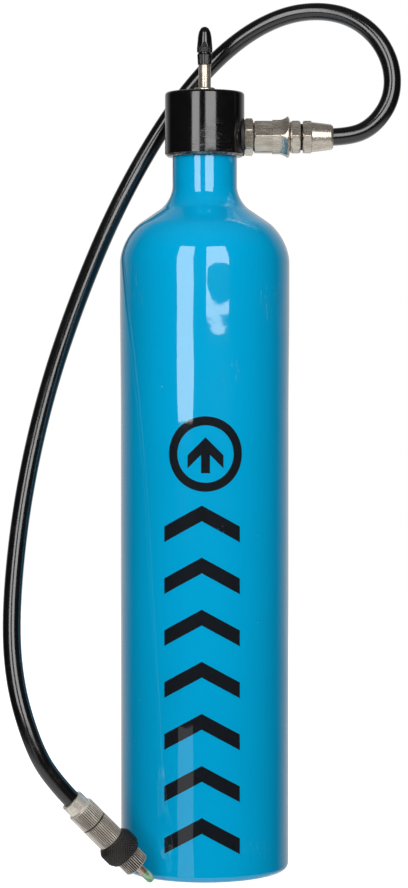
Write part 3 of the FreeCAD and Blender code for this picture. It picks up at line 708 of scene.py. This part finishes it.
def make_outlet():
    """The washer and hexagon on the head, then the swivel's two halves and the nut."""
    washer = [(4.9, 16.4), (8.6, 16.4, 0.35), (8.6, 18.0, 0.35), (4.9, 18.0)]
    piece = turned("washer", washer, OUTLET, RUBBER)
    stand_for(piece, "bottle", "black_rubber", "outlet_washer")

    nipple = [
        (2.5, 8.2), (4.8, 8.2, 0.3), (4.8, 18.0), (7.6, 18.0), (8.56, 18.7, 0.2),
        (8.56, 21.4, 0.2), (7.5, 22.0, 0.1), (6.8, 22.0), (6.8, 22.4), (4.7, 22.4),
        (4.7, 29.8, 0.3), (2.5, 29.8),
    ]
    piece = turned(
        "nipple", nipple, OUTLET, NICKEL_OUTLET, steps=180, rows=(18.0, 22.0, 0.15),
        shape=between(17.99, 22.01, flats(7.5, corner=-20.0), 5.0),
        knurl=neck(21.9, 22.5, 5.0, 7.0), sharp=50.0,
    )
    stand_for(piece, "bottle", "nickel", "outlet_nipple")

    def apothem(height):
        """The narrow hexagon, then the wider one that flares to the collar."""
        if height < 30.6:
            return 7.1
        return 7.5 + 0.118 * max(0.0, height - 33.6) ** 2

    swivel = [
        (4.75, 22.5), (7.35, 22.5, 0.12), (8.1, 23.1, 0.2), (8.1, 30.55, 0.05),
        (8.58, 30.65, 0.05), (8.58, 34.6, 2.0), (9.45, 37.4, 0.06), (9.45, 37.8, 0.1),
        (8.25, 38.4, 0.1), (4.05, 38.4), (4.05, 31.2), (4.75, 31.2),
    ]
    piece = turned(
        "swivel", swivel, OUTLET, NICKEL_OUTLET, steps=180, rows=(22.5, 38.4, 0.15),
        shape=between(22.49, 37.75, flats(apothem), 5.5), sharp=50.0,
    )
    stand_for(piece, "bottle", "nickel", "swivel_body")

    stem = [
        (1.6, 30.2), (3.9, 30.2), (3.9, 30.4), (3.4, 30.4), (3.4, 31.1), (4.0, 31.2),
        (4.0, 33.6), (3.1, 33.6), (3.1, 34.8), (4.0, 34.8), (4.0, 38.7), (7.1, 38.7, 0.3),
        (7.1, 39.4, 0.05), (8.16, 39.7, 0.15), (8.16, 42.3, 0.3), (6.9, 43.4, 0.15),
        (6.3, 43.4), (6.3, 44.35), (5.6, 44.35), (5.6, 49.0), (2.5, 49.0), (2.5, 56.6),
        (2.2, 57.4), (1.6, 57.4),
    ]
    piece = turned(
        "swivel_hexagon", stem, OUTLET, NICKEL_OUTLET, steps=180, rows=(39.4, 43.4, 0.15),
        shape=between(39.41, 43.41, flats(7.15), 5.7),
        knurl=neck(43.3, 44.4, 6.0, 6.5), sharp=50.0,
    )
    stand_for(piece, "hose", "nickel", "swivel_stem")

    nut = [
        (5.65, 44.5), (7.3, 44.5, 0.15), (8.1, 45.1, 0.2), (8.1, 48.0, 0.2), (6.85, 48.4, 0.25),
        (5.75, 57.2, 0.6), (5.0, 58.2, 0.3), (4.05, 58.2), (4.05, 51.1), (5.65, 49.3),
    ]
    piece = turned(
        "hose_nut_outer", nut, OUTLET, NICKEL_OUTLET, steps=180, rows=(44.5, 48.4, 0.15),
        shape=between(44.49, 48.41, flats(7.1), 5.7), sharp=50.0,
    )
    return stand_for(piece, "hose", "nickel", "hose_nut")


# ---- chuck -------------------------------------------------------------------------


def make_chuck():
    """The chuck's six visible pieces, from the hose to the green tip."""
    rear = [
        (4.05, 0), (4.9, 0, 0.1), (5.2, 0.3, 0.1), (5.2, 5.2, 0.2), (6.0, 5.6, 0.1),
        (6.2, 6.0, 0.1), (6.2, 13.85), (5.8, 13.85), (5.3, 13.85), (5.3, 9.2), (4.05, 8.4),
    ]
    nut = turned(
        "hose_clamp", rear, CHUCK, NICKEL_CHUCK, steps=320, rows=(0.4, 5.2, 0.25),
        shape=between(1.0, 4.9, flats(4.8, 2, 90.0), 4.4),
        knurl=one_after_another(
            between(5.9, 13.9, ridges(40, 0.40), 5.9), neck(13.8, 13.9, 5.2, 5.85)
        ),
        sharp=44.0,
    )
    stand_for(nut, "hose", "nickel", "chuck_rear_nut")

    middle = [
        (1.6, -3.0), (2.2, -3.0), (2.5, -2.2), (2.5, 9.4), (4.95, 9.4), (4.95, 14.5),
        (5.8, 14.5), (6.2, 14.5), (6.2, 25.0, 0.1), (5.9, 25.3, 0.1), (4.05, 25.3),
        (4.05, 24.3), (4.8, 24.3), (4.8, 23.5), (4.05, 23.5), (4.05, 16.8), (1.6, 16.8),
    ]
    sleeve = turned(
        "chuck_sleeve", middle, CHUCK, NICKEL_CHUCK, steps=320,
        knurl=one_after_another(
            between(14.48, 25.1, ridges(40, 0.40), 5.9), neck(9.3, 14.6, 4.8, 5.85)
        ),
        sharp=44.0,
    )
    stand_for(sleeve, "hose", "nickel", "chuck_body")

    barrel = [
        (4.6, 25.5), (6.5, 25.5, 0.25), (8.25, 27.7, 2.0), (8.25, 33.0, 2.0),
        (6.8, 35.4, 0.3), (4.6, 35.4),
    ]
    collar = turned(
        "collar", barrel, CHUCK, COLLAR_BLACK, steps=264, rows=(25.6, 35.3, 0.19),
        knurl=between(26.0, 35.0, diamonds(36, 1.45, 0.28), 6.4), sharp=60.0,
    )
    stand_for(collar, "shutoff", "black_anodised", "valve_collar")

    nose = [
        (3.25, 35.7), (5.55, 35.7, 0.1), (5.85, 36.0, 0.1), (5.85, 41.6, 0.1),
        (5.45, 42.0, 0.1), (4.0, 42.0, 0.1), (4.0, 40.9), (3.25, 40.9),
    ]
    nozzle_nut = turned(
        "nozzle_nut", nose, CHUCK, NICKEL_CHUCK, steps=288,
        knurl=between(35.85, 41.85, ridges(36, 0.42), 5.2), sharp=44.0,
    )
    stand_for(nozzle_nut, "nozzle_nut", "nickel", "chuck_nut")

    pipe = [
        (0.9, 36.0), (1.9, 36.0), (1.9, 41.0), (3.6, 41.0, 0.1), (3.6, 42.0, 0.15),
        (1.8, 42.0, 0.2), (1.8, 46.8, 0.15), (0.9, 46.8),
    ]
    spigot = turned("nozzle_pipe", pipe, CHUCK, BRASS, steps=64)
    stand_for(spigot, "shutoff", "brass", "nozzle_spigot")
    end = [
        (0.7, 46.8), (2.05, 46.8, 0.2), (1.9, 50.9, 0.4), (1.25, 51.8, 0.3), (0.7, 51.8, 0.1),
    ]
    tip = turned("nozzle_end", end, CHUCK, GREEN, steps=64)
    stand_for(tip, "shutoff", "green_plastic", "nozzle_tip")
    return [nut, sleeve, collar, nozzle_nut, spigot, tip]


# ---- hidden CAD parts and the whole ------------------------------------------------


def finish_cad_nodes():
    """The small parts kept from the CAD model get their finishes."""
    finishes = {
        RUBBER: ["neck_seal", "inlet_seal", "core_seal", "swivel_seal", "valve_core_seal"],
        BRASS: ["core_body", "core_pin", "core_nut", "valve_core"],
        CAP_PLASTIC: ["port_seat"],
        STEEL: ["swivel_clip", "valve_core_clip"],
    }
    for finish, names in finishes.items():
        for name in names:
            mesh = frame["nodes"][name].data
            mesh.materials.clear()
            mesh.materials.append(finish)


def connect_hose():
    """Give the hose its finish and let it ride on the hose body in place of the CAD hose."""
    hose.data.materials.append(HOSE_BLACK)
    stand_for(hose, "hose", "hose_rubber", "air_hose")


# ---- studio ------------------------------------------------------------------------


def make_floor():
    """A pale round floor that fades out into the background."""
    bm = bmesh.new()
    bmesh.ops.create_circle(bm, cap_ends=True, segments=128, radius=2.5)
    mesh = bpy.data.meshes.new("floor")
    bm.to_mesh(mesh)
    bm.free()
    floor = link(bpy.data.objects.new("floor", mesh))
    f = Finish("floor_paper")
    grain = f.noise(3.0, detail=3.0)
    f.put(Base_Color=f.mix(grain, (0.86, 0.86, 0.855), (0.90, 0.90, 0.90)), Roughness=0.9)
    f.put(Specular_IOR_Level=0.1, Emission_Color=(1.0, 1.0, 1.0), Emission_Strength=0.80)
    f.put(Alpha=f.fade(f.reach(), 500.0, 1500.0, 1.0, 0.0))
    mesh.materials.append(f.material)
    floor.visible_glossy = floor.visible_diffuse = False


def make_softbox(name, azimuth, width, low, high, radiance):
    """A tall soft light facing the bottle's axis; azimuth runs from front to right."""
    data = bpy.data.lights.new(name, "AREA")
    data.shape = "RECTANGLE"
    data.size, data.size_y = width, high - low
    data.energy = radiance * math.pi * width * (high - low)
    light = link(bpy.data.objects.new(name, data))
    angle = math.radians(azimuth)
    light.location = (
        LIGHT_DISTANCE * math.sin(angle), -LIGHT_DISTANCE * math.cos(angle), (low + high) / 2
    )
    light.rotation_euler = (math.radians(90), 0.0, angle)
    light.visible_camera = False
    return light


def make_flag(name, cloth, azimuth, height, width, thickness):
    """A dark oval card before a softbox, which only gloss sees."""
    bm = bmesh.new()
    bmesh.ops.create_circle(bm, cap_ends=True, segments=64, radius=1.0)
    bm.transform(Matrix.Diagonal((width / 2, thickness / 2, 1.0, 1.0)))
    angle = math.radians(azimuth)
    turn = Matrix.Rotation(angle, 4, "Z") @ Matrix.Rotation(math.radians(90), 4, "X")
    away = (FLAG_DISTANCE * math.sin(angle), -FLAG_DISTANCE * math.cos(angle), height)
    bm.transform(Matrix.Translation(away) @ turn)
    mesh = bpy.data.meshes.new(name)
    bm.to_mesh(mesh)
    bm.free()
    flag = link(bpy.data.objects.new(name, mesh))
    mesh.materials.append(cloth)
    flag.visible_camera = flag.visible_diffuse = flag.visible_shadow = False


def black_cloth():
    """Matt black cloth for the dark card."""
    f = Finish("flag_cloth")
    f.put(Base_Color=f.mix(f.noise(3.0), (0.004, 0.004, 0.004), (0.006, 0.006, 0.006)))
    f.put(Roughness=1.0, Specular_IOR_Level=0.0)
    return f.material


def make_top_light():
    """A wide light overhead, which gloss does not see."""
    data = bpy.data.lights.new("top_light", "AREA")
    data.shape = "DISK"
    radius, radiance = 0.8, 0.9
    data.size = 2 * radius
    data.energy = radiance * math.pi * math.pi * radius ** 2
    light = link(bpy.data.objects.new("top_light", data))
    light.location = (0.0, -0.35, 1.7)
    light.visible_camera = light.visible_glossy = False


def make_world():
    """A pale surround: bright behind, dim in front, so that gloss stays deep."""
    world = bpy.data.worlds.new("studio")
    world.use_nodes = True
    tree = world.node_tree
    bpy.context.scene.world = world
    nodes, links = tree.nodes, tree.links
    split = nodes.new("ShaderNodeSeparateXYZ")
    links.new(nodes.new("ShaderNodeTexCoord").outputs["Generated"], split.inputs[0])

    def glow(socket, start, end, strength, before):
        """Add light that grows as a direction's part goes from start to end."""
        fade = nodes.new("ShaderNodeMapRange")
        fade.interpolation_type = "SMOOTHSTEP"
        links.new(socket, fade.inputs[0])
        for place, value in zip(fade.inputs[1:5], (start, end, 0.0, strength)):
            place.default_value = value
        total = nodes.new("ShaderNodeMath")
        total.operation = "ADD"
        links.new(fade.outputs[0], total.inputs[0])
        if before is None:
            total.inputs[1].default_value = 0.006
        else:
            links.new(before, total.inputs[1])
        return total.outputs[0]

    backdrop_seen = 1.0
    back = glow(split.outputs[1], 0.40, 0.95, 0.55, None)
    above = glow(split.outputs[2], 0.45, 0.9, 0.04, back)
    light = glow(split.outputs[2], -0.30, -0.65, 0.75, above)
    seen = nodes.new("ShaderNodeLightPath").outputs["Is Camera Ray"]
    mix = nodes.new("ShaderNodeMix")
    links.new(seen, mix.inputs[0])
    links.new(light, mix.inputs[2])
    mix.inputs[3].default_value = backdrop_seen
    links.new(mix.outputs[0], nodes["Background"].inputs["Strength"])
    nodes["Background"].inputs["Color"].default_value = (1.0, 1.0, 1.0, 1.0)


make_bottle()
make_head()
make_inlet()
hose_nut = make_outlet()
chuck = make_chuck()
finish_cad_nodes()
connect_hose()
make_floor()
make_softbox("left_softbox", -26.0, 0.57, 0.15, 1.44, 4.0)
make_softbox("right_softbox", 17.0, 0.80, 0.238, 1.44, 4.0)
make_softbox("low_softbox", -26.0, 0.55, -0.60, -0.19, 0.5)
front_fill = make_softbox("front_fill", 0.0, 2.4, 0.02, 0.50, 1.5)
back_fill = make_softbox("back_fill", 170.0, 1.4, 0.16, 1.44, 2.0)
front_fill.visible_glossy = back_fill.visible_glossy = False
make_flag("right_flag", black_cloth(), 21.5, 0.309, 0.92, 0.088)
make_top_light()
make_world()
bpy.context.scene.view_settings.view_transform = "Standard"
